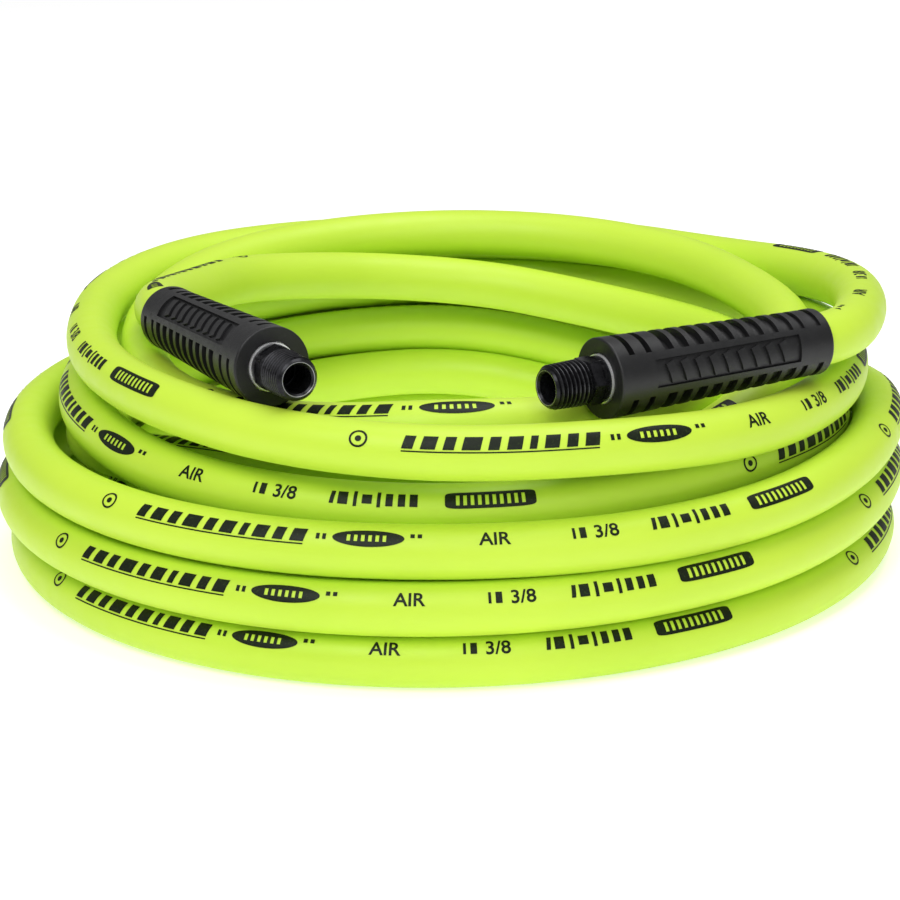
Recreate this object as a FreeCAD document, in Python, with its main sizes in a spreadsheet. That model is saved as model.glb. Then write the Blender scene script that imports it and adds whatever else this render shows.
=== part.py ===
"""Compressed-air hose in a loose coil, with a threaded fitting and a bend restrictor at each end.

Frame: +Z up, the coil stands on Z = 0 and its axis is the Z axis. Millimetres.
Each end is drawn along its own local Z axis, from the nose of the thread (0) towards the hose,
and its Placement then carries it to its place on top of the coil.
"""
import FreeCAD, Part
import Sketcher
import math
import os

Vector = FreeCAD.Vector

# Driving dimensions. A "station" is a distance along an end's axis from the nose of its fitting.
SIZES = {
    # hose: inner tube (liner), braid and cover, squeezed thinner where they are crimped
    "hose_diameter": 16.0,
    "hose_bore": 9.5,
    "liner_diameter": 12.3,
    "braid_diameter": 13.3,
    "crimped_liner_diameter": 11.4,
    "crimped_braid_diameter": 12.2,
    "crimped_hose_diameter": 14.4,
    "hose_cut_station": 21.6,
    "flare_start_station": 44.8,
    "flare_end_station": 49.0,
    "layer_end_station": 62.0,
    # fitting body: quarter-inch tapered pipe thread, 18 turns per inch
    "mouth_diameter": 10.0,
    "mouth_depth": 0.7,
    "passage_diameter": 8.7,
    "passage_end_station": 13.5,
    "stem_passage_diameter": 6.4,
    "stem_passage_station": 15.0,
    "nose_diameter": 10.9,
    "thread_start_station": 1.3,
    "thread_start_diameter": 13.1,
    "thread_end_station": 11.4,
    "thread_end_diameter": 13.75,
    "thread_pitch": 1.411,
    "thread_depth": 0.95,
    "thread_root_flat": 0.22,
    "relief_diameter": 11.6,
    "hex_front_station": 12.0,
    "hex_back_station": 17.0,
    "hex_across_flats": 12.7,
    "hex_turned_diameter": 13.6,
    "hex_corner_slope": 0.55,
    "shoulder_diameter": 13.7,
    "shoulder_length": 0.8,
    "stem_diameter": 8.3,
    "barb_diameter": 9.3,
    "barb_start_station": 24.0,
    "barb_pitch": 4.5,
    "barb_length": 3.6,
    "stem_end_station": 43.0,
    # crimp ferrule
    "ferrule_front_station": 18.1,
    "ferrule_diameter": 16.0,
    "ferrule_lip_diameter": 14.6,
    "ferrule_lip_length": 2.8,
    "ferrule_end_station": 44.6,
    "ferrule_hole_diameter": 8.3,
    "crimp_start_station": 22.5,
    "crimp_pitch": 5.4,
    "crimp_width": 2.6,
    "crimp_depth": 0.35,
    # bend restrictor
    "grip_front_station": 18.5,
    "grip_rear_station": 96.5,
    "grip_mouth_diameter": 15.2,
    "grip_mouth_length": 2.0,
    "grip_bore": 16.8,
    "grip_front_diameter": 24.0,
    "grip_rear_diameter": 20.0,
    "grip_front_round": 0.6,
    "grip_rear_round": 0.8,
    "grip_collar_length": 7.5,
    "grip_flare_diameter": 17.8,
    "grip_flare_length": 3.5,
    "slot_floor_diameter": 18.0,
    "front_slot_station": 22.9,
    "wide_slot_station": 35.5,
    "rear_slot_station": 85.2,
    "narrow_slot_width": 2.0,
    "narrow_slot_pitch": 6.0,
    "wide_slot_width": 3.4,
    "wide_slot_pitch": 5.5,
    "slot_arc": 113.0,
    # label: a sunk panel with a row of raised slanting bars
    "label_station": 31.0,
    "label_length": 53.0,
    "label_width": 8.2,
    "label_depth": 0.8,
    "label_bar_width": 2.9,
    "label_bar_length": 6.0,
    "label_bar_pitch": 5.2,
    "label_bar_slant": 18.0,
    # coil: two rings of turns, the upper one narrower and set towards +X
    "lower_outer_radius": 146.0,
    "lower_inner_radius": 98.0,
    "lower_height": 54.0,
    "upper_outer_radius": 134.0,
    "upper_inner_radius": 88.0,
    "upper_shift": 9.0,
    "coil_height": 77.0,
    "coil_round": 7.5,
    "cradle_clearance": 0.6,
}
BARBS = 4
CRIMPS = 4
LABEL_BARS = 9
NARROW_SLOTS = 2  # at the front, and as many again at the rear
WIDE_SLOTS = 9

# Each end: the centre of its bend restrictor's front face and the direction towards the hose.
ENDS = {
    "right": {"face": Vector(43.5, -105.0, 82.6), "towards_hose": Vector(69.5, 43.0, -2.2)},
    "left": {"face": Vector(-51.0, -94.5, 85.4), "towards_hose": Vector(-39.0, 77.6, -4.0)},
}
# How far each bend restrictor is turned about its axis, in degrees: where its label faces.
LABEL_TURN = {"right": -159.2, "left": 165.5}

# The hose between each end and the coil, as route points after the end's own straight.
CORNER_STATION = {"right": 108.6, "left": 113.9}
ROUTES = {
    "right": [(130.5, -20, 78), (131.5, 18, 75), (120.5, 53, 71), (97, 84, 67)],
    "left": [(-84.7, 28.9, 74.5), (-70.8, 63.7, 70.3), (-47.6, 85.3, 65.3), (-20.3, 100.2, 60.5),
             (14, 102.2, 56.4)],
}

doc = FreeCAD.newDocument("air_hose")
sheet = doc.addObject("Spreadsheet::Sheet", "sizes")
for row, (alias, value) in enumerate(SIZES.items(), start=1):
    sheet.set("A%d" % row, alias)
    sheet.set("B%d" % row, str(value))
    sheet.setAlias("B%d" % row, alias)
doc.recompute()


# A coordinate is a pair: the expression that drives it, and its value in millimetres.
ZERO = ("0", 0.0)


def cell(name, share=1.0):
    return ("sizes.%s * %s" % (name, share), SIZES[name] * share)


def half(name):
    return cell(name, 0.5)


def plus(first, second):
    return ("%s + (%s)" % (first[0], second[0]), first[1] + second[1])


def minus(first, second):
    return ("%s - (%s)" % (first[0], second[0]), first[1] - second[1])


def origin_plane(body, role):
    return [feature for feature in body.Origin.OriginFeatures if feature.Role == role][0]


def new_sketch(body, name, plane):
    sketch = body.newObject("Sketcher::SketchObject", name)
    sketch.AttachmentSupport = [(origin_plane(body, plane), "")]
    sketch.MapMode = "FlatFace"
    sketch.Visibility = False
    return sketch


def drive(sketch, constraint, coordinate):
    """Add a constraint and bind it to the sheet."""
    number = sketch.addConstraint(constraint)
    sketch.setExpression("Constraints[%d]" % number, coordinate[0])


def closed_outline(sketch, corners):
    """A closed outline, each corner driven by its two coordinates."""
    count = len(corners)
    for index in range(count):
        start = Vector(corners[index][0][1], corners[index][1][1], 0)
        following = corners[(index + 1) % count]
        finish = Vector(following[0][1], following[1][1], 0)
        sketch.addGeometry(Part.LineSegment(start, finish), False)
    for index in range(count):
        sketch.addConstraint(Sketcher.Constraint("Coincident", index, 2, (index + 1) % count, 1))
    for index, (across, along) in enumerate(corners):
        for kind, axis, coordinate in (("DistanceX", -2, across), ("DistanceY", -1, along)):
            if coordinate[1] == 0:
                sketch.addConstraint(Sketcher.Constraint("PointOnObject", index, 1, axis))
            else:
                drive(sketch, Sketcher.Constraint(kind, -1, 1, index, 1, coordinate[1]), coordinate)


def turned(body, name, corners, kind="PartDesign::Revolution"):
    """A full turn of an outline about the body's own Z axis."""
    sketch = new_sketch(body, name + "_outline", "XZ_Plane")
    closed_outline(sketch, corners)
    feature = body.newObject(kind, name)
    feature.Profile = sketch
    feature.ReferenceAxis = (sketch, ["V_Axis"])
    feature.Angle = 360.0
    return feature


def ring_edges(feature, radius, station):
    """Names of the circular edges of a feature at one radius and one height."""
    names = []
    for index, edge in enumerate(feature.Shape.Edges, start=1):
        curve = edge.Curve
        if not isinstance(curve, Part.Circle):
            continue
        if abs(curve.Radius - radius) < 0.01 and abs(curve.Center.z - station) < 0.01:
            names.append("Edge%d" % index)
    return names


def rounded(body, name, feature, rings, size):
    """Fillet the circular edges of a feature, given as (radius, station) pairs."""
    doc.recompute()
    names = []
    for radius, station in rings:
        names += ring_edges(feature, radius, station)
    fillet = body.newObject("PartDesign::Fillet", name)
    fillet.Base = (feature, names)
    fillet.Radius = SIZES[size]
    fillet.setExpression("Radius", "sizes.%s" % size)
    return fillet


def end_placement(side, turn=0.0):
    """Carries the local Z axis onto the end's axis, after a turn about that axis."""
    end = ENDS[side]
    direction = FreeCAD.Vector(end["towards_hose"]).normalize()
    nose = end["face"] - direction * SIZES["grip_front_station"]
    spin = FreeCAD.Rotation(Vector(0, 0, 1), turn)
    return FreeCAD.Placement(nose, FreeCAD.Rotation(Vector(0, 0, 1), direction) * spin)


def on_axis(side, station):
    return end_placement(side).multVec(Vector(0, 0, station))


# ---- fitting body -------------------------------------------------------------------------

def add_hex(body, name):
    """A six-sided pad round the relief, its corners turned off at both ends."""
    sketch = new_sketch(body, name + "_flats", "XY_Plane")
    sketch.setExpression("AttachmentOffset.Base.z", "sizes.hex_front_station")
    corner_radius = SIZES["hex_across_flats"] / math.sqrt(3)
    tips = []
    for index in range(6):
        angle = math.radians(60 * index)
        tips.append(Vector(corner_radius * math.cos(angle), corner_radius * math.sin(angle), 0))
    for index in range(6):
        sketch.addGeometry(Part.LineSegment(tips[index], tips[(index + 1) % 6]), False)
    for index in range(6):
        sketch.addConstraint(Sketcher.Constraint("Coincident", index, 2, (index + 1) % 6, 1))
    up = Vector(0, 0, 1)
    corner_circle = sketch.addGeometry(Part.Circle(Vector(), up, corner_radius), True)
    hole_radius = SIZES["stem_diameter"] / 2
    hole = sketch.addGeometry(Part.Circle(Vector(), up, hole_radius), False)
    for circle in (corner_circle, hole):
        sketch.addConstraint(Sketcher.Constraint("Coincident", circle, 3, -1, 1))
    for index in range(6):
        sketch.addConstraint(Sketcher.Constraint("PointOnObject", index, 1, corner_circle))
    for index in range(5):
        sketch.addConstraint(Sketcher.Constraint("Equal", index, index + 1))
    sketch.addConstraint(Sketcher.Constraint("PointOnObject", 0, 1, -1))
    corner = ("sizes.hex_across_flats / sqrt(3)", corner_radius)
    drive(sketch, Sketcher.Constraint("Radius", corner_circle, corner_radius), corner)
    drive(sketch, Sketcher.Constraint("Radius", hole, hole_radius), half("stem_diameter"))
    pad = body.newObject("PartDesign::Pad", name + "_hex")
    pad.Profile = sketch
    pad.Length = SIZES["hex_back_station"] - SIZES["hex_front_station"]
    pad.setExpression("Length", "sizes.hex_back_station - sizes.hex_front_station")

    inner = half("hex_turned_diameter")
    outer = cell("hex_across_flats")
    slope = cell("hex_corner_slope")
    reach = minus(outer, inner)
    drop = ("(%s) * %s" % (reach[0], slope[0]), reach[1] * slope[1])
    front = cell("hex_front_station")
    back = cell("hex_back_station")
    front_corner = [(inner, front), (outer, front), (outer, plus(front, drop))]
    back_corner = [(inner, back), (outer, back), (outer, minus(back, drop))]
    turned(body, name + "_front_corners", front_corner, "PartDesign::Groove")
    turned(body, name + "_back_corners", back_corner, "PartDesign::Groove")


def thread_groove():
    """The helical groove of the tapered thread, a little longer than the thread at both ends."""
    pitch = SIZES["thread_pitch"]
    rise = (SIZES["thread_end_diameter"] - SIZES["thread_start_diameter"]) / 2
    run = SIZES["thread_end_station"] - SIZES["thread_start_station"]
    taper = math.degrees(math.atan(rise / run))
    crest_radius = SIZES["thread_start_diameter"] / 2 - rise / run * pitch
    root_radius = crest_radius - SIZES["thread_depth"]
    outside = crest_radius + SIZES["thread_depth"] * 0.3
    root_half = SIZES["thread_root_flat"] / 2
    mouth_half = root_half + (outside - root_radius) * math.tan(math.radians(30))
    mouth_half = min(mouth_half, pitch / 2 * 0.98)
    section = Part.makePolygon([
        Vector(root_radius, 0, -root_half),
        Vector(root_radius, 0, root_half),
        Vector(outside, 0, mouth_half),
        Vector(outside, 0, -mouth_half),
        Vector(root_radius, 0, -root_half),
    ])
    path = Part.makeLongHelix(pitch, run + 2 * pitch, root_radius, taper)
    sweep = Part.BRepOffsetAPI.MakePipeShell(path)
    sweep.setFrenetMode(True)
    sweep.add(section)
    sweep.build()
    sweep.makeSolid()
    groove = sweep.shape()
    groove.translate(Vector(0, 0, SIZES["thread_start_station"] - pitch))
    return groove


def build_fitting(side):
    """Threaded nose, hex and barbed stem, turned from one bar and bored right through."""
    name = side + "_fitting"
    blank = doc.addObject("PartDesign::Body", name + "_blank")
    corners = [
        (half("mouth_diameter"), ZERO),
        (half("nose_diameter"), ZERO),
        (half("thread_start_diameter"), cell("thread_start_station")),
        (half("thread_end_diameter"), cell("thread_end_station")),
        (half("relief_diameter"), cell("hex_front_station")),
        (half("relief_diameter"), minus(cell("hex_back_station"), cell("shoulder_length"))),
        (half("shoulder_diameter"), minus(cell("hex_back_station"), cell("shoulder_length"))),
        (half("shoulder_diameter"), cell("ferrule_front_station")),
        (half("stem_diameter"), cell("ferrule_front_station")),
    ]
    for barb in range(BARBS):
        start = plus(cell("barb_start_station"), cell("barb_pitch", barb))
        corners.append((half("stem_diameter"), start))
        corners.append((half("barb_diameter"), start))
        corners.append((half("stem_diameter"), plus(start, cell("barb_length"))))
    corners += [
        (half("stem_diameter"), cell("stem_end_station")),
        (half("stem_passage_diameter"), cell("stem_end_station")),
        (half("stem_passage_diameter"), cell("stem_passage_station")),
        (half("passage_diameter"), cell("passage_end_station")),
        (half("passage_diameter"), cell("mouth_depth")),
    ]
    turned(blank, name + "_bar", corners)
    add_hex(blank, name)
    groove = doc.addObject("Part::Feature", name + "_thread_groove")
    groove.Shape = thread_groove()
    fitting = doc.addObject("Part::Cut", name)
    fitting.Base = blank
    fitting.Tool = groove
    fitting.Label = name
    return fitting


# ---- crimp ferrule and the hose's three layers inside it -----------------------------------

def build_ferrule(side):
    """A cup crimped in rings over the end of the hose."""
    name = side + "_ferrule"
    body = doc.addObject("PartDesign::Body", name)
    front = cell("ferrule_front_station")
    corners = [
        (half("ferrule_hole_diameter"), front),
        (half("ferrule_lip_diameter"), front),
        (half("ferrule_lip_diameter"), plus(front, cell("ferrule_lip_length"))),
        (half("ferrule_diameter"), plus(front, cell("ferrule_lip_length"))),
    ]
    for ring in range(CRIMPS):
        start = plus(cell("crimp_start_station"), cell("crimp_pitch", ring))
        pressed = minus(half("ferrule_diameter"), cell("crimp_depth"))
        corners.append((half("ferrule_diameter"), start))
        corners.append((pressed, plus(start, cell("crimp_width", 0.25))))
        corners.append((pressed, plus(start, cell("crimp_width", 0.75))))
        corners.append((half("ferrule_diameter"), plus(start, cell("crimp_width"))))
    corners += [
        (half("ferrule_diameter"), cell("ferrule_end_station")),
        (half("crimped_hose_diameter"), cell("ferrule_end_station")),
        (half("crimped_hose_diameter"), cell("hose_cut_station")),
        (half("ferrule_hole_diameter"), cell("hose_cut_station")),
    ]
    turned(body, name + "_cup", corners)
    body.Label = name
    return body


def build_layer(side, layer, inside, outside):
    """One layer of the hose wall, thin where it is crimped and full size behind the ferrule."""
    name = "%s_hose_%s" % (side, layer)
    body = doc.addObject("PartDesign::Body", name)
    crimped_inside, free_inside = inside
    crimped_outside, free_outside = outside
    corners = [
        (half(crimped_inside), cell("hose_cut_station")),
        (half(crimped_outside), cell("hose_cut_station")),
        (half(crimped_outside), cell("flare_start_station")),
        (half(free_outside), cell("flare_end_station")),
        (half(free_outside), cell("layer_end_station")),
        (half(free_inside), cell("layer_end_station")),
        (half(free_inside), cell("flare_end_station")),
        (half(crimped_inside), cell("flare_start_station")),
    ]
    turned(body, name + "_wall", corners)
    body.Label = name
    return body


# ---- bend restrictor ------------------------------------------------------------------------

def slot_row(body, name, station, width, pitch, count):
    """Slots part of the way round the sleeve, repeated along it and on its other side."""
    sketch = new_sketch(body, name + "_outline", "XZ_Plane")
    outside = cell("grip_front_diameter", 0.6)
    floor = half("slot_floor_diameter")
    start = cell(station)
    finish = plus(start, cell(width))
    closed_outline(sketch, [(floor, start), (outside, start), (outside, finish), (floor, finish)])
    groove = body.newObject("PartDesign::Groove", name)
    groove.Profile = sketch
    groove.ReferenceAxis = (sketch, ["V_Axis"])
    groove.Midplane = True
    groove.Angle = SIZES["slot_arc"]
    groove.setExpression("Angle", "sizes.slot_arc")
    spread = body.newObject("PartDesign::MultiTransform", name + "_all")
    spread.Originals = [groove]
    along = body.newObject("PartDesign::LinearPattern", name + "_along")
    along.Direction = (sketch, ["V_Axis"])
    along.Length = SIZES[pitch] * (count - 1)
    along.setExpression("Length", "sizes.%s * %d" % (pitch, count - 1))
    along.Occurrences = count
    around = body.newObject("PartDesign::PolarPattern", name + "_around")
    around.Axis = (sketch, ["V_Axis"])
    around.Angle = 360.0
    around.Occurrences = 2
    spread.Transformations = [along, around]
    body.Tip = spread
    return spread


def label_tool(name):
    """What is cut away for the label: a panel of even depth, less the raised bars on it."""
    panel = doc.addObject("Part::Box", name + "_panel")
    panel.setExpression("Length", "sizes.label_width")
    panel.setExpression("Width", "sizes.grip_front_diameter")
    panel.setExpression("Height", "sizes.label_length")
    panel.Placement.Base = Vector(-SIZES["label_width"] / 2, 0, SIZES["label_station"])
    floor = doc.addObject("Part::Cone", name + "_floor")
    floor.setExpression("Radius1", "sizes.grip_front_diameter / 2 - sizes.label_depth")
    floor.setExpression("Radius2", "sizes.grip_rear_diameter / 2 - sizes.label_depth")
    floor.setExpression(
        "Height", "sizes.grip_rear_station - sizes.grip_collar_length - sizes.grip_front_station")
    floor.Placement.Base = Vector(0, 0, SIZES["grip_front_station"])
    kept = [floor]
    middle = SIZES["label_station"] + SIZES["label_length"] / 2
    corner = Vector(-SIZES["label_bar_length"] / 2, 0, -SIZES["label_bar_width"] / 2)
    slant = FreeCAD.Rotation(Vector(0, 1, 0), SIZES["label_bar_slant"])
    for index in range(LABEL_BARS):
        bar = doc.addObject("Part::Box", "%s_bar_%d" % (name, index + 1))
        bar.setExpression("Length", "sizes.label_bar_length")
        bar.setExpression("Width", "sizes.grip_front_diameter")
        bar.setExpression("Height", "sizes.label_bar_width")
        along = (index - (LABEL_BARS - 1) / 2) * SIZES["label_bar_pitch"]
        bar.Placement = FreeCAD.Placement(Vector(0, 0, middle + along) + slant.multVec(corner), slant)
        kept.append(bar)
    raised = doc.addObject("Part::MultiFuse", name + "_raised")
    raised.Shapes = kept
    tool = doc.addObject("Part::Cut", name)
    tool.Base = panel
    tool.Tool = raised
    return tool


def build_grip(side):
    """Moulded sleeve, tapered towards the hose, with slots on both sides of two smooth bands."""
    name = side + "_bend_restrictor"
    body = doc.addObject("PartDesign::Body", name + "_sleeve")
    front = cell("grip_front_station")
    rear = cell("grip_rear_station")
    corners = [
        (half("grip_mouth_diameter"), front),
        (half("grip_front_diameter"), front),
        (half("grip_rear_diameter"), minus(rear, cell("grip_collar_length"))),
        (half("grip_rear_diameter"), rear),
        (half("grip_flare_diameter"), rear),
        (half("grip_bore"), minus(rear, cell("grip_flare_length"))),
        (half("grip_bore"), plus(front, cell("grip_mouth_length"))),
        (half("grip_mouth_diameter"), plus(front, cell("grip_mouth_length"))),
    ]
    sleeve = turned(body, name + "_tube", corners)
    front_ring = [(SIZES["grip_front_diameter"] / 2, SIZES["grip_front_station"])]
    front_round = rounded(body, name + "_front_round", sleeve, front_ring, "grip_front_round")
    rear_ring = [(SIZES["grip_rear_diameter"] / 2, SIZES["grip_rear_station"])]
    rounded(body, name + "_rear_round", front_round, rear_ring, "grip_rear_round")
    for place in ("front", "rear"):
        slot_row(body, "%s_%s_slots" % (name, place), place + "_slot_station", "narrow_slot_width",
                 "narrow_slot_pitch", NARROW_SLOTS)
    slot_row(body, name + "_wide_slots", "wide_slot_station", "wide_slot_width", "wide_slot_pitch",
             WIDE_SLOTS)
    grip = doc.addObject("Part::Cut", name)
    grip.Base = body
    grip.Tool = label_tool(name + "_label")
    grip.Label = name
    return grip


# ---- coil and the hose that leads to it -------------------------------------------------------

def build_coil():
    """The outer shape of the coil: a wide ring of lower turns and a narrower one on top of it."""
    name = "hose_coil"
    body = doc.addObject("PartDesign::Body", name + "_rings")
    lower = [
        (cell("lower_inner_radius"), ZERO),
        (cell("lower_outer_radius"), ZERO),
        (cell("lower_outer_radius"), cell("lower_height")),
        (cell("lower_inner_radius"), cell("lower_height")),
    ]
    lower_ring = turned(body, name + "_lower", lower)
    rings = []
    for radius in ("lower_inner_radius", "lower_outer_radius"):
        rings.append((SIZES[radius], 0.0))
    rings.append((SIZES["lower_outer_radius"], SIZES["lower_height"]))
    rounded(body, name + "_lower_round", lower_ring, rings, "coil_round")

    upper = doc.addObject("PartDesign::Body", name + "_upper")
    middle = cell("lower_height", 0.8)
    corners = [
        (cell("upper_inner_radius"), middle),
        (cell("upper_outer_radius"), middle),
        (cell("upper_outer_radius"), cell("coil_height")),
        (cell("upper_inner_radius"), cell("coil_height")),
    ]
    upper_ring = turned(upper, name + "_upper_ring", corners)
    rings = []
    for radius in ("upper_inner_radius", "upper_outer_radius"):
        rings.append((SIZES[radius], SIZES["coil_height"]))
    rounded(upper, name + "_upper_round", upper_ring, rings, "coil_round")
    upper.Placement = FreeCAD.Placement(Vector(SIZES["upper_shift"], 0, 0), FreeCAD.Rotation())

    both = doc.addObject("Part::Fuse", name + "_both")
    both.Base = body
    both.Tool = upper
    cradles = []
    for side in ENDS:
        cradle = doc.addObject("Part::Cylinder", name + "_%s_cradle" % side)
        cradle.setExpression("Radius", "sizes.grip_front_diameter / 2 + sizes.cradle_clearance")
        cradle.setExpression("Height", "sizes.grip_rear_station + 8")
        cradle.Placement = end_placement(side)
        cradles.append(cradle)
    hollow = doc.addObject("Part::MultiFuse", name + "_cradles")
    hollow.Shapes = cradles
    coil = doc.addObject("Part::Cut", name)
    coil.Base = both
    coil.Tool = hollow
    coil.Label = name
    return coil


def route_wire(points):
    """Straight runs joined by tangent arcs, each as large as its two runs allow."""
    edges = []
    radii = []
    here = points[0]
    for index in range(1, len(points) - 1):
        corner = points[index]
        back = points[index - 1] - corner
        ahead = points[index + 1] - corner
        turn = math.pi - back.getAngle(ahead)
        reach = 0.45 * min(back.Length, ahead.Length)
        radius = reach / math.tan(turn / 2)
        back.normalize()
        ahead.normalize()
        start = corner + back * reach
        finish = corner + ahead * reach
        bisector = (back + ahead).normalize()
        middle = corner + bisector * (radius / math.cos(turn / 2) - radius)
        edges.append(Part.LineSegment(here, start).toShape())
        edges.append(Part.Arc(start, middle, finish).toShape())
        radii.append(radius)
        here = finish
    edges.append(Part.LineSegment(here, points[-1]).toShape())
    return Part.Wire(edges), radii


def build_run(side):
    """The hose from the end's straight to where it joins the coil."""
    name = side + "_hose_run"
    points = [on_axis(side, SIZES["layer_end_station"]), on_axis(side, CORNER_STATION[side])]
    points += [Vector(*point) for point in ROUTES[side]]
    wire, radii = route_wire(points)
    direction = points[1] - points[0]
    circle = Part.Wire(Part.makeCircle(SIZES["hose_diameter"] / 2, points[0], direction))
    shape = wire.makePipeShell([circle], True, False)
    expected = math.pi * SIZES["hose_diameter"] ** 2 / 4 * wire.Length
    print("%s: length %.0f, volume %.4f of section times length" % (
        name, wire.Length, shape.Volume / expected))
    print("  radii", [round(radius) for radius in radii])
    run = doc.addObject("Part::Feature", name)
    run.Shape = shape
    run.Label = name
    return run


# ---- the whole hose ---------------------------------------------------------------------------

parts = [build_coil()]
for side in ENDS:
    end_parts = [
        build_fitting(side),
        build_ferrule(side),
        build_layer(side, "liner", ("stem_diameter", "hose_bore"),
                    ("crimped_liner_diameter", "liner_diameter")),
        build_layer(side, "braid", ("crimped_liner_diameter", "liner_diameter"),
                    ("crimped_braid_diameter", "braid_diameter")),
        build_layer(side, "cover", ("crimped_braid_diameter", "braid_diameter"),
                    ("crimped_hose_diameter", "hose_diameter")),
    ]
    for piece in end_parts:
        piece.Placement = end_placement(side)
    grip = build_grip(side)
    grip.Placement = end_placement(side, LABEL_TURN[side])
    parts += end_parts + [grip, build_run(side)]
doc.recompute()

for item in doc.Objects:
    if "Invalid" in item.State or "Error" in item.State:
        raise RuntimeError("%s did not recompute: %s" % (item.Name, item.State))
for part in parts:
    if part.Shape.isNull() or not part.Shape.isValid() or not part.Shape.Solids:
        raise RuntimeError("%s has no valid solid" % part.Label)

os.makedirs("parts", exist_ok=True)
for part in parts:
    part.Shape.exportStep("parts/%s.step" % part.Label)
    box = part.Shape.BoundBox
    print("%-24s solids %d volume %9.1f z %.1f to %.1f" % (
        part.Label, len(part.Shape.Solids), part.Shape.Volume, box.ZMin, box.ZMax))
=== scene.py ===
"""Looks of the coiled air hose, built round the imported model. Metres, +Z up, in the CAD's frame."""
import math

import bmesh
import bpy
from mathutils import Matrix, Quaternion, Vector


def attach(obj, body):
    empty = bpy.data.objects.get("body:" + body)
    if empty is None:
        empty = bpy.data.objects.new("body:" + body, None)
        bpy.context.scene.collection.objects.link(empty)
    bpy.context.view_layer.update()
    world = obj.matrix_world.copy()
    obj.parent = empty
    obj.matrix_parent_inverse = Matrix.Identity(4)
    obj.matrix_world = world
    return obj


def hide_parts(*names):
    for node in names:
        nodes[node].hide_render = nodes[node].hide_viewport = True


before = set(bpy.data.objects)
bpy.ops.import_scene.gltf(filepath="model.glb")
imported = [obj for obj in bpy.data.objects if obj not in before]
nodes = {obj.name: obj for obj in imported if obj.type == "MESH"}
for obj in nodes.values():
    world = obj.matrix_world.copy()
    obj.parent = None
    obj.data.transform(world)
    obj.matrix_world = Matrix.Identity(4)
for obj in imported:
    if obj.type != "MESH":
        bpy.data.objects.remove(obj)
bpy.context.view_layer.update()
scene = bpy.context.scene


# ---- camera ----------------------------------------------------------------------------------

CAMERA_TARGET = Vector((0.0, 0.0, 0.0284))
CAMERA_DISTANCE = 1.07
CAMERA_ELEVATION = math.radians(17.83)
CAMERA_ROLL = math.radians(-1.37)
CAMERA_LENS = 132.64


def add_camera():
    camera = bpy.data.objects.new("camera", bpy.data.cameras.new("camera"))
    scene.collection.objects.link(camera)
    back = Vector((0, -math.cos(CAMERA_ELEVATION), math.sin(CAMERA_ELEVATION)))
    camera.location = CAMERA_TARGET + back * CAMERA_DISTANCE
    camera.rotation_mode = "QUATERNION"
    roll = Quaternion((0, 0, 1), CAMERA_ROLL)
    camera.rotation_quaternion = (-back).to_track_quat("-Z", "Y") @ roll
    camera.data.lens = CAMERA_LENS
    camera.data.sensor_width = 36
    scene.camera = camera


add_camera()


# ---- hose route ------------------------------------------------------------------------------

HOSE_DIAMETER = 0.016

# Each end: the centre of its bend restrictor's front face, and the direction towards the hose.
ENDS = {
    "right": {
        "face": Vector((0.0435, -0.105, 0.0826)),
        "towards_hose": Vector((69.5, 43.0, -2.2)).normalized(),
    },
    "left": {
        "face": Vector((-0.051, -0.0945, 0.0854)),
        "towards_hose": Vector((-39.0, 77.6, -4.0)).normalized(),
    },
}
# Distances along an end's axis from the nose of its fitting: the bend restrictor's front face, the
# start of the hose line, and the corner the line heads for as it leaves the bend restrictor.
FACE_STATION = 0.0185
RUN_START_STATION = 0.062
CORNER_STATION = {"right": 0.1086, "left": 0.1139}
# A point on the axis that keeps the hose straight until it leaves its bend restrictor.
STRAIGHT_STATION = {"right": 0.078, "left": 0.074}
# The hose between each end's corner and the coil.
ROUTES = {
    "right": [(0.1305, -0.020, 0.078), (0.1315, 0.018, 0.075), (0.1205, 0.053, 0.071),
              (0.097, 0.084, 0.067)],
    "left": [(-0.0847, 0.0289, 0.0745), (-0.0708, 0.0637, 0.0703), (-0.0476, 0.0853, 0.0653),
             (-0.0203, 0.1002, 0.0605), (0.014, 0.1022, 0.0564)],
}

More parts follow.
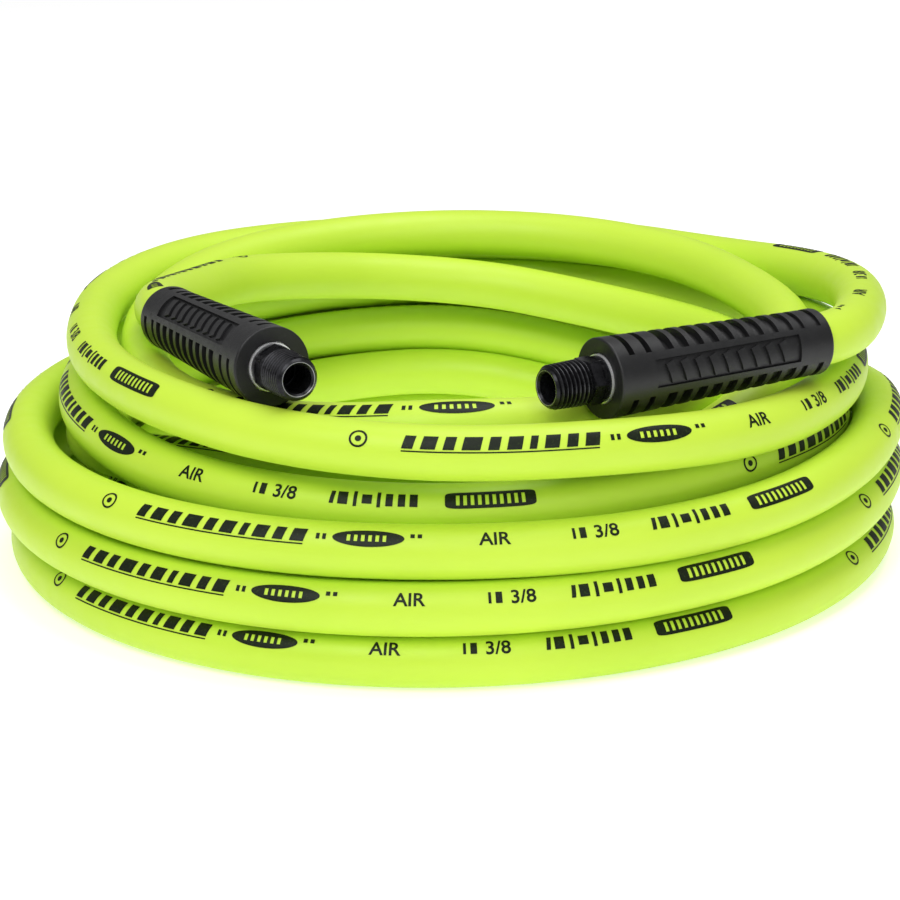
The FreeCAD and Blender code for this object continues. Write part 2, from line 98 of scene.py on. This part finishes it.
# The turns, from the top outer one down the outside and then up the inside. Each row is where the
# hose's centre is: degrees round the coil from +X, counting on through the turns, then the radius
# and the height in millimetres.
TURNS = [
    # first turn: down from the right end, then in front on top
    (66, 131, 65.5), (90, 133, 65), (135, 128, 70), (157, 121, 70), (180, 112.5, 69.5), (214, 113, 71),
    (240, 119, 69.5), (270, 126.5, 68), (295, 129, 66.8), (318, 128, 61.5),
    # second
    (360, 125, 58.5), (382, 130, 55), (405, 129, 51), (450, 127.5, 51), (495, 125, 52),
    (540, 116, 52), (562, 116, 52.3), (585, 116, 49.3), (630, 117, 47.6), (652, 118, 48),
    (675, 120, 49),
    # third
    (720, 120, 42.5), (742, 121, 41), (765, 125.5, 36.2), (776, 129.5, 36), (787, 133, 36.4),
    (810, 135.5, 37.5), (855, 136, 39), (900, 134.5, 41), (945, 134, 41), (990, 130, 40),
    (1012, 133, 39.8), (1035, 136, 40.2),
    # fourth
    (1080, 137, 42), (1102, 139, 34), (1125, 137, 25), (1136, 133.5, 22.6), (1147, 130, 22.6),
    (1170, 128.5, 22.5), (1215, 134, 23.5), (1260, 137.5, 24.3), (1305, 136, 24.2), (1350, 134, 24.2),
    (1395, 136, 24.5),
    # fifth, on the floor outside
    (1440, 137, 25.5), (1462, 138, 17), (1485, 137, 9), (1496, 138.5, 8), (1507, 137.5, 8),
    (1530, 134.5, 8), (1620, 134, 8), (1710, 132.6, 8),
    # sixth, on the floor inside
    (1800, 134.3, 8), (1822, 124.5, 8), (1845, 121, 8), (1890, 118, 8), (1980, 117, 8), (2070, 115, 8),
    # seventh
    (2160, 117.5, 8), (2182, 108.5, 8), (2205, 104, 9.5), (2227, 106, 17.5), (2250, 111, 22.7),
    (2340, 102, 22), (2430, 112, 27),
    # eighth
    (2520, 119, 26), (2565, 112, 24), (2587, 114, 31), (2610, 118, 36.8), (2700, 117, 35),
    (2722, 104, 41), (2745, 98.5, 48), (2767, 98, 49.5), (2790, 98, 48.5), (2812, 99.5, 49.5),
    (2835, 105, 51.6), (2857, 109, 62.5),
    # ninth
    (2880, 109, 66.8), (2902, 109.5, 66.8), (2925, 112, 70), (2970, 116, 71.5), (3015, 110, 71),
    (3037, 103, 67.5), (3060, 96, 63.8), (3094, 97.5, 63.4), (3120, 100.5, 64.6), (3150, 107, 70.5),
    (3173, 100, 66), (3195, 92, 62.8), (3217, 93.5, 58),
    # tenth, up to the left end
    (3240, 97, 55), (3285, 98, 51), (3307, 98, 53.5),
]
STEP_DEGREES = 22.5


def smooth_between(rows, angle):
    """Radius and height at an angle, on a smooth curve through the rows."""
    last = len(rows) - 1
    index = 0
    while index < last - 1 and rows[index + 1][0] < angle:
        index += 1
    start, finish = rows[index], rows[index + 1]
    before, after = rows[max(index - 1, 0)], rows[min(index + 2, last)]
    span = finish[0] - start[0]
    share = (angle - start[0]) / span
    values = []
    for column in (1, 2):
        slope_in = (finish[column] - before[column]) / (finish[0] - before[0]) * span
        slope_out = (after[column] - start[column]) / (after[0] - start[0]) * span
        values.append(
            (2 * share ** 3 - 3 * share ** 2 + 1) * start[column]
            + (share ** 3 - 2 * share ** 2 + share) * slope_in
            + (3 * share ** 2 - 2 * share ** 3) * finish[column]
            + (share ** 3 - share ** 2) * slope_out)
    return values


def nose(side):
    """Where an end's axis starts, at the nose of its fitting."""
    end = ENDS[side]
    return end["face"] - end["towards_hose"] * FACE_STATION


def on_axis(side, station):
    return nose(side) + ENDS[side]["towards_hose"] * station


def hose_route():
    """Control points of the whole hose, from the right end to the left end."""
    straight = {}
    for side in ENDS:
        stations = (RUN_START_STATION, STRAIGHT_STATION[side], CORNER_STATION[side])
        straight[side] = [on_axis(side, station) for station in stations]
    points = list(straight["right"])
    points += [Vector(point) for point in ROUTES["right"]]
    steps = int((TURNS[-1][0] - TURNS[0][0]) / STEP_DEGREES)
    # A spline of order 3 runs inside its control points, so the turns' points stand out a little.
    outward = 1 / math.cos(math.radians(STEP_DEGREES) / 2)
    for step in range(steps + 1):
        angle = TURNS[0][0] + STEP_DEGREES * step
        radius, height = smooth_between(TURNS, angle)
        radius *= outward / 1000
        turn = math.radians(angle)
        points.append(Vector((radius * math.cos(turn), radius * math.sin(turn), height / 1000)))
    points += [Vector(point) for point in reversed(ROUTES["left"])]
    points += reversed(straight["left"])
    return points


# ---- the hose --------------------------------------------------------------------------------

def add_hose():
    """The hose as one NURBS line with a round surface."""
    curve = bpy.data.curves.new("air_hose", "CURVE")
    curve.dimensions = "3D"
    route = hose_route()
    spline = curve.splines.new("NURBS")
    spline.points.add(len(route) - 1)
    for point, place in zip(spline.points, route):
        point.co = (*place, 1)
    spline.order_u = 3
    spline.use_endpoint_u = True
    spline.use_smooth = True
    curve.resolution_u = 16
    curve.bevel_depth = HOSE_DIAMETER / 2
    curve.bevel_resolution = 14
    curve.use_fill_caps = True
    hose = bpy.data.objects.new("air_hose", curve)
    scene.collection.objects.link(hose)
    return hose


def centreline(hose):
    """Points along the hose's own NURBS line, a few millimetres apart."""
    bare = hose.copy()
    bare.data = hose.data.copy()
    bare.data.bevel_depth = 0
    scene.collection.objects.link(bare)
    bpy.context.view_layer.update()
    depsgraph = bpy.context.evaluated_depsgraph_get()
    mesh = bpy.data.meshes.new_from_object(bare.evaluated_get(depsgraph))
    points = [vertex.co.copy() for vertex in mesh.vertices]
    bpy.data.meshes.remove(mesh)
    bpy.data.objects.remove(bare)
    return points


class Line:
    """A fine line with its length, its angle round the coil and a frame at each point."""

    def __init__(self, points):
        self.points = points
        self.lengths = [0.0]
        self.angles = [math.degrees(math.atan2(points[0].y, points[0].x))]
        for before, after in zip(points, points[1:]):
            self.lengths.append(self.lengths[-1] + (after - before).length)
            angle = math.degrees(math.atan2(after.y, after.x))
            turns = round((self.angles[-1] - angle) / 360)
            self.angles.append(angle + 360 * turns)

    def station(self, angle):
        """Length along the line at an angle round the coil, counting on through the turns."""
        for index in range(len(self.angles) - 1):
            if self.angles[index + 1] >= angle:
                span = self.angles[index + 1] - self.angles[index]
                share = max(0.0, (angle - self.angles[index]) / span)
                return self.lengths[index] + share * (self.lengths[index + 1] - self.lengths[index])
        return self.lengths[-1]

    def frame(self, station):
        """Centre, outward and upward directions across the line at a length along it."""
        low, high = 0, len(self.lengths) - 1
        while high - low > 1:
            middle = (low + high) // 2
            if self.lengths[middle] <= station:
                low = middle
            else:
                high = middle
        share = (station - self.lengths[low]) / (self.lengths[high] - self.lengths[low])
        centre = self.points[low].lerp(self.points[high], share)
        before = self.points[max(low - 1, 0)]
        after = self.points[min(high + 1, len(self.points) - 1)]
        along = (self.points[high] - before).lerp(after - self.points[low], share).normalized()
        outward = Vector((centre.x, centre.y, 0))
        outward = (outward - along * outward.dot(along)).normalized()
        return centre, outward, outward.cross(along)


# ---- the printed marks -----------------------------------------------------------------------
# Plain generic marks in the places of the real hose's print. All sizes here are millimetres,
# along the hose from the first mark of a repeat, and across from the middle of the print.

REPEAT = 275.0
PRINT_LIFT = 0.07
# The sheet of marks is cut into slices, so that it bends round the hose.
SLICE_ACROSS = 0.5
SLICE_ALONG = 1.0
MARKS_REACH = 3
MARKS_END = 222
# Metres at either end of the hose line, in and just behind the bend restrictor, without print.
HIDDEN_LENGTH = 0.045

# Where a repeat begins: degrees round the coil, counting on through the turns, how far along the
# hose from there, and how far above the level the print faces. Repeats between these are spread
# evenly.
PRINT_STARTS = [
    (108, -397, 88), (108, -200, 45), (258.8, -290, 45), (258.8, 0, 38), (533.7, 0, 40), (674, 0, 22),
    (944, 0, 46), (1060, 0, 44), (1295, 0, 40), (1412, 0, 42), (1651, 0, 44), (1770, 0, 45), (2460, 0, 45),
    (2719, 0, 75), (2839, 0, -50), (3105, -275, -30), (3105, 0, 65), (3240, 0, 15), (3440, -100, 80),
    (3440, 0, 80),
]

# Short bars: start, end, lowest and highest across, and how far the top leans forward.
BARS = [
    (12, 15, -2.0, 2.0, 0.9), (17, 21, -2.0, 2.0, 0.9), (23, 26, -2.0, 2.0, 0.9),
    (28, 33, -2.0, 2.0, 0.9), (35, 38, -2.0, 2.0, 0.9), (40, 44, -2.0, 2.0, 0.9),
    (46, 48, -2.0, 2.0, 0.9), (50, 54, -2.0, 2.0, 0.9), (56, 59, -2.0, 2.0, 0.9),
    (61, 65, -2.0, 2.0, 0.9), (12, 65, -2.9, -2.5, 0.0),
    (68.4, 69.4, -0.9, 0.9, 0.0), (70.2, 71.2, -0.9, 0.9, 0.0),
    (94.6, 95.8, 0.3, 1.6, 0.0), (96.6, 97.8, 0.3, 1.6, 0.0),
    (139.2, 140.0, -1.7, 1.7, 0.0), (141.2, 143.0, -1.7, 1.7, 0.0),
    (162, 163.2, -1.9, 1.9, 0.4), (164.4, 167.2, -1.9, 1.9, 0.0), (168.8, 169.8, -2.3, 2.3, 0.0),
    (171.2, 174, -1.4, 1.4, 0.0), (175.4, 176.4, -2.3, 2.3, 0.0), (177.8, 179.8, -1.9, 1.9, 0.0),
    (181.2, 183.2, -1.9, 1.9, 0.0), (184.4, 186.6, -1.9, 1.9, 0.0),
]
# Generic words: the word, its start and the height of its letters.
WORDS = [("AIR", 113.5, 3.9), ("3/8", 145.2, 3.9)]
# The ring round a dot that a repeat begins with.
RING_OUTSIDE = 2.6
RING_INSIDE = 2.0
DOT_RADIUS = 0.9
# Filled shapes: start, end, half height, and how square the shape is (2 is an ellipse).
BADGES = [(73, 93, 2.6, 2.0), (194, 219, 2.5, 7.0)]
# Unprinted bars in them: start, end, pitch and half height.
GAPS = [(77, 89, 2, 1.0), (197, 217, 2, 1.4)]


def add_face(sheet, corners):
    sheet.faces.new([sheet.verts.new((along, across, 0)) for along, across in corners])


def add_word(sheet, word, start, height):
    """A generic word in Blender's own plain letters."""
    text = bpy.data.curves.new(word, "FONT")
    text.body = word
    text.size = height / 0.7
    text.offset = 0.10
    holder = bpy.data.objects.new(word, text)
    scene.collection.objects.link(holder)
    bpy.context.view_layer.update()
    depsgraph = bpy.context.evaluated_depsgraph_get()
    letters = bpy.data.meshes.new_from_object(holder.evaluated_get(depsgraph))
    lowest = min(vertex.co.y for vertex in letters.vertices)
    highest = max(vertex.co.y for vertex in letters.vertices)
    for vertex in letters.vertices:
        vertex.co.x += start
        vertex.co.y -= (lowest + highest) / 2
    sheet.from_mesh(letters)
    bpy.data.meshes.remove(letters)
    bpy.data.objects.remove(holder)


def flat_marks():
    """One repeat of the print as a flat sheet, cut finely so that it can bend round the hose."""
    sheet = bmesh.new()
    for start, end, low, high, lean in BARS:
        add_face(sheet, [(start, low), (end, low), (end + lean, high), (start + lean, high)])
    for start, end, reach, squareness in BADGES:
        middle, half_length = (start + end) / 2, (end - start) / 2
        corners = []
        for step in range(64):
            turn = 2 * math.pi * step / 64
            across, up = math.cos(turn), math.sin(turn)
            corners.append((
                middle + half_length * math.copysign(abs(across) ** (2 / squareness), across),
                reach * math.copysign(abs(up) ** (2 / squareness), up)))
        add_face(sheet, corners)
    for step in range(32):
        edges = [2 * math.pi * step / 32, 2 * math.pi * (step + 1) / 32]
        corners = [(RING_OUTSIDE * math.cos(edge), RING_OUTSIDE * math.sin(edge)) for edge in edges]
        edges.reverse()
        corners += [(RING_INSIDE * math.cos(edge), RING_INSIDE * math.sin(edge)) for edge in edges]
        add_face(sheet, corners)
    dot = [math.pi * step / 8 for step in range(16)]
    add_face(sheet, [(DOT_RADIUS * math.cos(turn), DOT_RADIUS * math.sin(turn)) for turn in dot])
    for word, start, height in WORDS:
        add_word(sheet, word, start, height)
    cuts = [
        ((0, 1, 0), SLICE_ACROSS, -MARKS_REACH, MARKS_REACH),
        ((1, 0, 0), SLICE_ALONG, -MARKS_REACH, MARKS_END),
    ]
    for axis, pitch, low, high in cuts:
        for index in range(round((high - low) / pitch) + 1):
            everything = sheet.verts[:] + sheet.edges[:] + sheet.faces[:]
            cut = Vector(axis) * (low + index * pitch)
            bmesh.ops.bisect_plane(sheet, geom=everything, plane_co=cut, plane_no=axis, dist=1e-5)
    unprinted = []
    for face in sheet.faces:
        middle = face.calc_center_median()
        for start, end, pitch, reach in GAPS:
            inside = start < middle.x < end and abs(middle.y) < reach
            if inside and (middle.x - start) % pitch < pitch / 2:
                unprinted.append(face)
    bmesh.ops.delete(sheet, geom=unprinted, context="FACES")
    return sheet


def print_repeats(line):
    """Length along the hose and facing, in degrees above the level, of each repeat."""
    repeats = []
    for (start, shift, facing), (end, next_shift, next_facing) in zip(PRINT_STARTS, PRINT_STARTS[1:]):
        low = line.station(start) + shift / 1000
        high = line.station(end) + next_shift / 1000
        count = max(1, round((high - low) / REPEAT * 1000))
        for index in range(count):
            share = index / count
            repeats.append((low + (high - low) * share, facing + (next_facing - facing) * share))
    return repeats


def add_print(line):
    """The marks bent round the hose, a hair's breadth above it."""
    sheet = flat_marks()
    flat = bpy.data.meshes.new("flat_marks")
    sheet.to_mesh(flat)
    sheet.free()
    places, faces = [], []
    radius = HOSE_DIAMETER / 2 + PRINT_LIFT / 1000
    last_shown = line.lengths[-1] - HIDDEN_LENGTH
    for start, facing in print_repeats(line):
        shown = []
        base = len(places)
        for vertex in flat.vertices:
            station = start + vertex.co.x / 1000
            shown.append(HIDDEN_LENGTH < station < last_shown)
            centre, outward, upward = line.frame(min(max(station, 0.0), line.lengths[-1]))
            turn = math.radians(facing) + vertex.co.y / 1000 / (HOSE_DIAMETER / 2)
            places.append(centre + (outward * math.cos(turn) + upward * math.sin(turn)) * radius)
        for face in flat.polygons:
            if all(shown[index] for index in face.vertices):
                faces.append([base + index for index in face.vertices])
    mesh = bpy.data.meshes.new("hose_print")
    mesh.from_pydata(places, [], faces)
    marks = bpy.data.objects.new("hose_print", mesh)
    scene.collection.objects.link(marks)
    tidy = bmesh.new()
    tidy.from_mesh(mesh)
    bmesh.ops.delete(tidy, geom=[vertex for vertex in tidy.verts if not vertex.link_faces], context="VERTS")
    tidy.to_mesh(mesh)
    tidy.free()
    bpy.data.meshes.remove(flat)
    for face in mesh.polygons:
        face.use_smooth = True
    return marks


# ---- materials -------------------------------------------------------------------------------

class Paint:
    """A new material with helpers that add and join its nodes."""

    def __init__(self, name, **values):
        self.material = bpy.data.materials.new(name)
        self.material.use_nodes = True
        self.tree = self.material.node_tree
        self.shader = self.tree.nodes["Principled BSDF"]
        self.place = self.add("ShaderNodeTexCoord").outputs["Object"]
        for socket, value in values.items():
            self.shader.inputs[socket.replace("_", " ")].default_value = value

    def add(self, kind, **values):
        node = self.tree.nodes.new(kind)
        for name, value in values.items():
            setattr(node, name, value)
        return node

    def join(self, source, socket):
        self.tree.links.new(source, socket)

    def noise(self, scale, detail=3.0, roughness=0.5):
        node = self.add("ShaderNodeTexNoise")
        node.inputs["Scale"].default_value = scale
        node.inputs["Detail"].default_value = detail
        node.inputs["Roughness"].default_value = roughness
        self.join(self.place, node.inputs["Vector"])
        return node.outputs["Fac"]

    def ramp(self, source, low, high, first, second):
        """Colour that goes from first to second as source goes from low to high."""
        node = self.add("ShaderNodeValToRGB")
        node.color_ramp.elements[0].position = low
        node.color_ramp.elements[0].color = (*first, 1)
        node.color_ramp.elements[1].position = high
        node.color_ramp.elements[1].color = (*second, 1)
        self.join(source, node.inputs["Fac"])
        return node.outputs["Color"]

    def spread(self, source, low, high, first, second):
        """Number that goes from first to second as source goes from low to high."""
        node = self.add("ShaderNodeMapRange")
        limits = {"From Min": low, "From Max": high, "To Min": first, "To Max": second}
        for socket, value in limits.items():
            node.inputs[socket].default_value = value
        self.join(source, node.inputs["Value"])
        return node.outputs["Result"]

    def maths(self, operation, first, second=0.0):
        node = self.add("ShaderNodeMath", operation=operation)
        for socket, value in zip(node.inputs, (first, second)):
            if isinstance(value, (int, float)):
                socket.default_value = value
            else:
                self.join(value, socket)
        return node.outputs["Value"]

    def mix(self, share, first, second):
        node = self.add("ShaderNodeMix", data_type="RGBA")
        sockets = (node.inputs["Factor"], node.inputs[6], node.inputs[7])
        for socket, value in zip(sockets, (share, first, second)):
            if isinstance(value, tuple):
                socket.default_value = (*value, 1)
            else:
                self.join(value, socket)
        return node.outputs[2]

    def bump(self, height, distance, strength, under=None):
        node = self.add("ShaderNodeBump")
        node.inputs["Distance"].default_value = distance
        node.inputs["Strength"].default_value = strength
        self.join(height, node.inputs["Height"])
        if under is not None:
            self.join(under, node.inputs["Normal"])
        return node.outputs["Normal"]

    def along_and_across(self, side):
        """Distance along an end's axis from its nose, and distance from that axis."""
        offset = self.add("ShaderNodeVectorMath", operation="SUBTRACT")
        self.join(self.place, offset.inputs[0])
        offset.inputs[1].default_value = nose(side)
        along = self.add("ShaderNodeVectorMath", operation="DOT_PRODUCT")
        self.join(offset.outputs["Vector"], along.inputs[0])
        along.inputs[1].default_value = ENDS[side]["towards_hose"]
        on_line = self.add("ShaderNodeVectorMath", operation="SCALE")
        on_line.inputs[0].default_value = ENDS[side]["towards_hose"]
        self.join(along.outputs["Value"], on_line.inputs["Scale"])
        away = self.add("ShaderNodeVectorMath", operation="DISTANCE")
        self.join(offset.outputs["Vector"], away.inputs[0])
        self.join(on_line.outputs["Vector"], away.inputs[1])
        return along.outputs["Value"], away.outputs["Value"]


def hose_material():
    """Satin lime-green polymer: slightly uneven colour and sheen, shallow dents and a fine skin."""
    paint = Paint("hose_cover", IOR=1.45, Subsurface_Weight=0.12, Subsurface_Scale=0.004)
    paint.shader.inputs["Subsurface Radius"].default_value = (1.0, 0.9, 0.3)
    broad = paint.noise(14, 2)
    green = paint.ramp(broad, 0.3, 0.7, (0.55, 0.79, 0.05), (0.60, 0.83, 0.058))
    paint.join(green, paint.shader.inputs["Base Color"])
    fine = paint.noise(2600, 2)
    paint.join(paint.spread(paint.noise(160, 4), 0.3, 0.7, 0.42, 0.54), paint.shader.inputs["Roughness"])
    dents = paint.bump(paint.noise(95, 2), 0.0004, 0.25)
    paint.join(paint.bump(fine, 0.00005, 0.35, dents), paint.shader.inputs["Normal"])
    return paint.material


def ink_material():
    """Dark printed ink, thinner in places so that the green shows through."""
    paint = Paint("print_ink", IOR=1.45, Specular_IOR_Level=0.25)
    worn = paint.noise(1500, 4)
    ink = paint.ramp(worn, 0.56, 0.80, (0.006, 0.011, 0.003), (0.03, 0.055, 0.008))
    paint.join(ink, paint.shader.inputs["Base Color"])
    paint.join(paint.spread(worn, 0.3, 0.7, 0.38, 0.55), paint.shader.inputs["Roughness"])
    return paint.material


def grip_material():
    """Moulded black rubbery plastic with a fine spark-eroded skin and pale scuffs."""
    paint = Paint("grip_plastic", IOR=1.5, Specular_IOR_Level=0.42)
    scuffs = paint.noise(420, 6, 0.65)
    clouds = paint.noise(60, 3)
    base = paint.ramp(clouds, 0.3, 0.7, (0.008, 0.008, 0.0085), (0.013, 0.013, 0.014))
    worn = paint.spread(scuffs, 0.62, 0.78, 0.0, 0.5)
    paint.join(paint.mix(worn, base, (0.045, 0.045, 0.047)), paint.shader.inputs["Base Color"])
    paint.join(paint.spread(scuffs, 0.3, 0.7, 0.34, 0.48), paint.shader.inputs["Roughness"])
    skin = paint.bump(paint.noise(3200, 3), 0.00012, 0.5)
    paint.join(skin, paint.shader.inputs["Normal"])
    return paint.material


def fitting_material(side):
    """Black anodised aluminium, rubbed a little bright on the thread crests, with a painted highlight round
    the mouth.
    """
    paint = Paint(side + "_black_anodised", Metallic=0.75)
    along, away = paint.along_and_across(side)
    patches = paint.noise(700, 4)
    dark = paint.ramp(patches, 0.35, 0.75, (0.012, 0.012, 0.014), (0.030, 0.030, 0.034))
    crest = paint.spread(away, 0.00645, 0.00684, 0.0, 0.25)
    on_thread = paint.spread(along, 0.0116, 0.0119, 1.0, 0.0)
    rubbed = paint.maths("MULTIPLY", paint.maths("MULTIPLY", crest, on_thread), patches)
    colour = paint.mix(rubbed, dark, (0.30, 0.30, 0.32))
    # Painted highlight: a pale grey ring round the mouth's rim stands in for the reflection on its chamfer.
    mouth = paint.spread(along, 0.00002, 0.00012, 1.0, 0.0)
    painted_mouth_highlight = paint.maths("MULTIPLY", mouth, paint.spread(away, 0.00512, 0.00518, 0.5, 0.0))
    paint.join(paint.mix(painted_mouth_highlight, colour, (0.62, 0.62, 0.63)), paint.shader.inputs["Base Color"])
    paint.join(paint.spread(patches, 0.3, 0.7, 0.24, 0.38), paint.shader.inputs["Roughness"])
    turning = paint.add("ShaderNodeTexNoise", noise_dimensions="1D")
    turning.inputs["Scale"].default_value = 9000
    paint.join(along, turning.inputs["W"])
    paint.join(paint.bump(turning.outputs["Fac"], 0.00004, 0.25), paint.shader.inputs["Normal"])
    return paint.material


def ferrule_material(side):
    """Bright aluminium with turning marks round it."""
    paint = Paint(side + "_ferrule_metal", Metallic=0.6)
    along, away = paint.along_and_across(side)
    turning = paint.add("ShaderNodeTexNoise", noise_dimensions="1D")
    turning.inputs["Scale"].default_value = 7000
    paint.join(paint.maths("ADD", along, away), turning.inputs["W"])
    marks = turning.outputs["Fac"]
    metal = paint.ramp(marks, 0.3, 0.7, (0.82, 0.82, 0.83), (0.92, 0.92, 0.93))
    paint.join(metal, paint.shader.inputs["Base Color"])
    paint.join(paint.spread(marks, 0.3, 0.7, 0.22, 0.36), paint.shader.inputs["Roughness"])
    paint.join(paint.bump(marks, 0.00003, 0.3), paint.shader.inputs["Normal"])
    return paint.material


def liner_material():
    """Smooth black inner tube, a little dusty."""
    paint = Paint("hose_liner", IOR=1.5)
    dust = paint.noise(300, 5)
    black = paint.ramp(dust, 0.4, 0.8, (0.012, 0.012, 0.012), (0.05, 0.05, 0.048))
    paint.join(black, paint.shader.inputs["Base Color"])
    paint.join(paint.spread(dust, 0.3, 0.7, 0.4, 0.6), paint.shader.inputs["Roughness"])
    return paint.material


def braid_material():
    """Off-white yarn crossing in two directions."""
    paint = Paint("hose_braid", Roughness=0.8)
    heights = []
    for direction in ("DIAGONAL", "X"):
        wave = paint.add("ShaderNodeTexWave", bands_direction=direction)
        wave.inputs["Scale"].default_value = 420
        paint.join(paint.place, wave.inputs["Vector"])
        heights.append(wave.outputs["Fac"])
    weave = paint.maths("MAXIMUM", heights[0], heights[1])
    yarn = paint.ramp(weave, 0.2, 0.8, (0.45, 0.44, 0.40), (0.80, 0.79, 0.75))
    paint.join(yarn, paint.shader.inputs["Base Color"])
    paint.join(paint.bump(weave, 0.0003, 0.6), paint.shader.inputs["Normal"])
    return paint.material


def floor_material():
    """Matt white that glows a little, as a photographer's backdrop does."""
    paint = Paint("white_floor", Roughness=0.7, Emission_Strength=0.42)
    paint.shader.inputs["Emission Color"].default_value = (1, 1, 1, 1)
    white = paint.ramp(paint.noise(3, 2), 0.3, 0.7, (0.86, 0.86, 0.86), (0.88, 0.88, 0.88))
    paint.join(white, paint.shader.inputs["Base Color"])
    return paint.material


def give(piece, material):
    """Put one material on a piece, in the slot it already has or in a new one."""
    if piece.data.materials:
        piece.data.materials[0] = material
    else:
        piece.data.materials.append(material)


# ---- light and floor -------------------------------------------------------------------------

FLOOR_REACH = 8.0
WORLD_STRENGTH = 0.3
# Each light: its name, place, side in metres and power in watts.
LIGHTS = [
    ("key", (-0.5, -0.9, 1.3), 0.8, 10.5),
    ("top", (0.3, 0.2, 1.5), 1.0, 12.3),
    ("front", (0.4, -1.4, 0.9), 0.8, 4.2),
]


def add_light(name, place, size, power):
    """A soft square light that faces the coil."""
    lamp = bpy.data.lights.new(name, "AREA")
    lamp.shape = "SQUARE"
    lamp.size = size
    lamp.energy = power
    light = bpy.data.objects.new(name, lamp)
    scene.collection.objects.link(light)
    light.location = place
    light.rotation_mode = "QUATERNION"
    light.rotation_quaternion = (CAMERA_TARGET - Vector(place)).to_track_quat("-Z", "Y")


def add_studio():
    """White surroundings, three soft lights and the floor."""
    world = bpy.data.worlds.new("studio")
    scene.world = world
    world.use_nodes = True
    background = world.node_tree.nodes["Background"]
    background.inputs["Color"].default_value = (1, 1, 1, 1)
    background.inputs["Strength"].default_value = WORLD_STRENGTH
    for name, place, size, power in LIGHTS:
        add_light(name, place, size, power)
    scene.view_settings.view_transform = "Standard"
    mesh = bpy.data.meshes.new("floor")
    reach = FLOOR_REACH
    corners = [(-reach, -reach, 0), (reach, -reach, 0), (reach, reach, 0), (-reach, reach, 0)]
    mesh.from_pydata(corners, [], [(0, 1, 2, 3)])
    floor = bpy.data.objects.new("floor", mesh)
    scene.collection.objects.link(floor)
    give(floor, floor_material())


# ---- putting it together ---------------------------------------------------------------------

hose = add_hose()
line = Line(centreline(hose))
marks = add_print(line)
cover = hose_material()
give(hose, cover)
give(marks, ink_material())

grip_skin = grip_material()
liner = liner_material()
braid = braid_material()
for side in ENDS:
    give(nodes[side + "_fitting"], fitting_material(side))
    give(nodes[side + "_ferrule"], ferrule_material(side))
    give(nodes[side + "_hose_liner"], liner)
    give(nodes[side + "_hose_braid"], braid)
    give(nodes[side + "_hose_cover"], cover)
    give(nodes[side + "_bend_restrictor"], grip_skin)

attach(hose, "hose")
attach(marks, "hose")
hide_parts("hose_coil", "left_hose_run", "right_hose_run")

add_studio()
